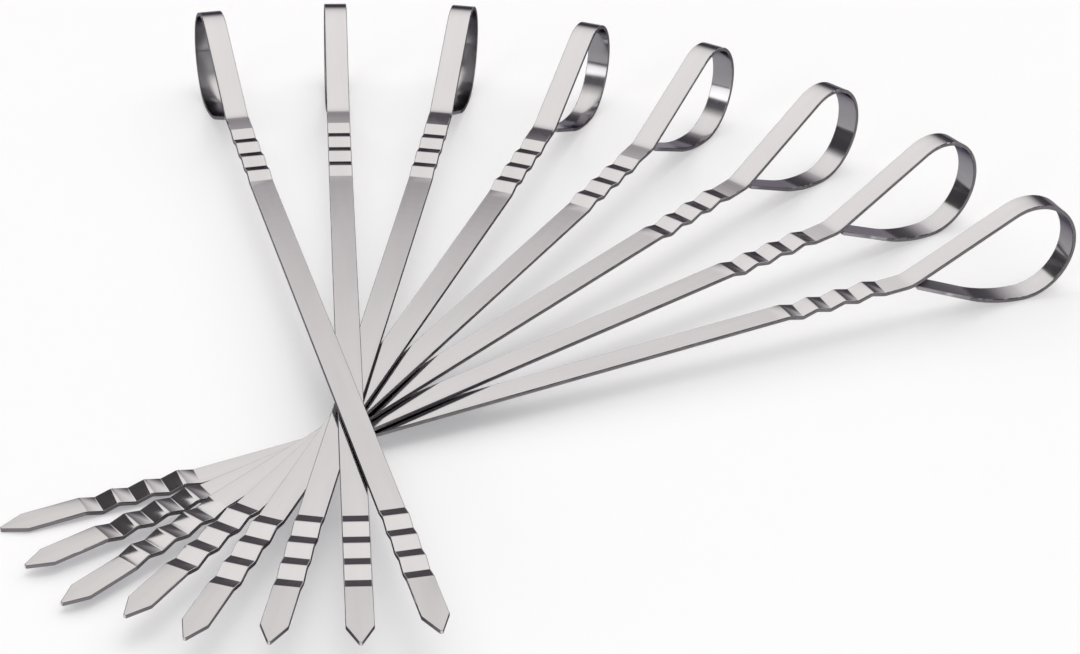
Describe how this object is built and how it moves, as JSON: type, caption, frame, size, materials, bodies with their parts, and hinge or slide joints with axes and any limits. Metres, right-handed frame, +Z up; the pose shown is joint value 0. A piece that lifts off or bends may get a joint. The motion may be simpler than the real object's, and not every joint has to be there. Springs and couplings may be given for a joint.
{
  "type": "kebab skewer set",
  "caption": "Flat stainless kebab skewers with pointed tips, pressed wave zones and bent teardrop loop handles, laid as a fan.",
  "frame": {"origin": "middle of the set's box, on the table that its loops and its lowest point stand on", "axes": "+Z up; +X towards the loop of the lowest skewer, +Y towards the loops of the upper ones"},
  "size_m": [0.3962, 0.4406, 0.0424],
  "materials": {
    "steel": "polished stainless steel with a fine grain along the strip"
  },
  "bodies": {
    "skewer_1": {"skewer_1": "steel"},
    "skewer_2": {"skewer_2": "steel"},
    "skewer_3": {"skewer_3": "steel"},
    "skewer_4": {"skewer_4": "steel"},
    "skewer_5": {"skewer_5": "steel"},
    "skewer_6": {"skewer_6": "steel"},
    "skewer_7": {"skewer_7": "steel"},
    "skewer_8": {"skewer_8": "steel"}
  },
  "joints": [
    {"name": "lift_2", "type": "slide", "parent": "skewer_1", "child": "skewer_2", "axis": [0, 0, 1], "range_m": [0, 0.05]},
    {"name": "lift_3", "type": "slide", "parent": "skewer_2", "child": "skewer_3", "axis": [0, 0, 1], "range_m": [0, 0.05]},
    {"name": "lift_4", "type": "slide", "parent": "skewer_3", "child": "skewer_4", "axis": [0, 0, 1], "range_m": [0, 0.05]},
    {"name": "lift_5", "type": "slide", "parent": "skewer_4", "child": "skewer_5", "axis": [0, 0, 1], "range_m": [0, 0.05]},
    {"name": "lift_6", "type": "slide", "parent": "skewer_5", "child": "skewer_6", "axis": [0, 0, 1], "range_m": [0, 0.05]},
    {"name": "lift_7", "type": "slide", "parent": "skewer_6", "child": "skewer_7", "axis": [0, 0, 1], "range_m": [0, 0.05]},
    {"name": "lift_8", "type": "slide", "parent": "skewer_7", "child": "skewer_8", "axis": [0, 0, 1], "range_m": [0, 0.05]}
  ]
}
